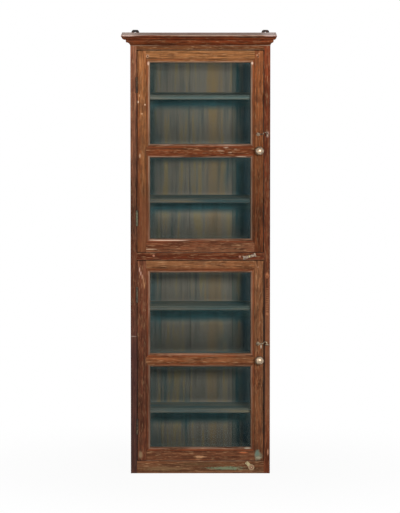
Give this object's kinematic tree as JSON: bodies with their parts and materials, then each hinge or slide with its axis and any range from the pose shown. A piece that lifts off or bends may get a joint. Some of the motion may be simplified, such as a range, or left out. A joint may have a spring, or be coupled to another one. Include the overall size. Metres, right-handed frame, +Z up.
{
  "type": "display case",
  "caption": "Tall narrow wall-hung display case: glazed framed doors stacked one over the other, painted shelves behind, hook latches, turn buttons, moulded cornice.",
  "frame": {"origin": "middle of the flat underside of the case", "axes": "+Z up the case, +X to the right of someone facing the doors, doors face -Y, back at +Y"},
  "size_m": [0.439, 0.2135, 1.2533],
  "materials": {
    "teak": "old oiled and worn teak",
    "painted_teak": "thin worn blue-green paint",
    "window_glass": "clear glass",
    "brass": "aged brass",
    "iron": "blackened iron"
  },
  "bodies": {
    "carcass": {"left_side_board": "teak", "right_side_board": "teak", "top_board": "teak", "middle_board": "teak", "bottom_board": "teak", "base_rail": "teak", "divider_rail": "teak", "frieze_rail": "teak", "back_board_1": "painted_teak", "back_board_2": "painted_teak", "back_board_3": "painted_teak", "back_board_4": "painted_teak", "shelf_1": "painted_teak", "shelf_2": "painted_teak", "shelf_3": "painted_teak", "shelf_4": "painted_teak", "shelf_5": "painted_teak", "shelf_6": "painted_teak", "cornice_front": "teak", "cornice_left": "teak", "cornice_right": "teak", "left_hanger": "iron", "right_hanger": "iron", "hinge_pins": "brass", "button_screws": "brass", "lower_hook_staple": "brass", "upper_hook_staple": "brass", "lower_bottom_hinge_frame_leaf": "brass", "lower_top_hinge_frame_leaf": "brass", "upper_bottom_hinge_frame_leaf": "brass", "upper_top_hinge_frame_leaf": "brass"},
    "lower_door": {"lower_hinge_stile": "teak", "lower_latch_stile": "teak", "lower_door_bottom_rail": "teak", "lower_door_middle_rail": "teak", "lower_door_top_rail": "teak", "lower_door_lower_glass": "window_glass", "lower_door_upper_glass": "window_glass", "lower_glazing_beads": "teak", "lower_knob": "brass", "lower_hook_pivot": "brass", "lower_bottom_hinge_door_leaf": "brass", "lower_top_hinge_door_leaf": "brass"},
    "upper_door": {"upper_hinge_stile": "teak", "upper_latch_stile": "teak", "upper_door_bottom_rail": "teak", "upper_door_middle_rail": "teak", "upper_door_top_rail": "teak", "upper_door_lower_glass": "window_glass", "upper_door_upper_glass": "window_glass", "upper_glazing_beads": "teak", "upper_knob": "brass", "upper_hook_pivot": "brass", "upper_bottom_hinge_door_leaf": "brass", "upper_top_hinge_door_leaf": "brass"},
    "lower_hook": {"lower_hook": "brass"},
    "upper_hook": {"upper_hook": "brass"},
    "middle_turn_button": {"middle_turn_button": "brass"},
    "base_turn_button": {"base_turn_button": "brass"}
  },
  "joints": [
    {"name": "lower_door_hinge", "type": "hinge", "parent": "carcass", "child": "lower_door", "pos_m": [-0.17925, -0.092, 0.322], "axis": [0, 0, -1], "range_deg": [0, 170]},
    {"name": "lower_hook_pivot", "type": "hinge", "parent": "lower_door", "child": "lower_hook", "pos_m": [0.16325, -0.0963, 0.372], "axis": [0, -1, 0], "range_deg": [-7.5, 180]},
    {"name": "upper_door_hinge", "type": "hinge", "parent": "carcass", "child": "upper_door", "pos_m": [-0.17925, -0.092, 0.917], "axis": [0, 0, -1], "range_deg": [0, 170]},
    {"name": "upper_hook_pivot", "type": "hinge", "parent": "upper_door", "child": "upper_hook", "pos_m": [0.16325, -0.0963, 0.967], "axis": [0, -1, 0], "range_deg": [-7.5, 180]},
    {"name": "middle_button_turn", "type": "hinge", "parent": "carcass", "child": "middle_turn_button", "pos_m": [0.139, -0.09185, 0.62], "axis": [0, -1, 0], "range_deg": [-105, 75]},
    {"name": "base_button_turn", "type": "hinge", "parent": "carcass", "child": "base_turn_button", "pos_m": [0.145, -0.09185, 0.0175], "axis": [0, -1, 0], "range_deg": [-135, 45]}
  ]
}
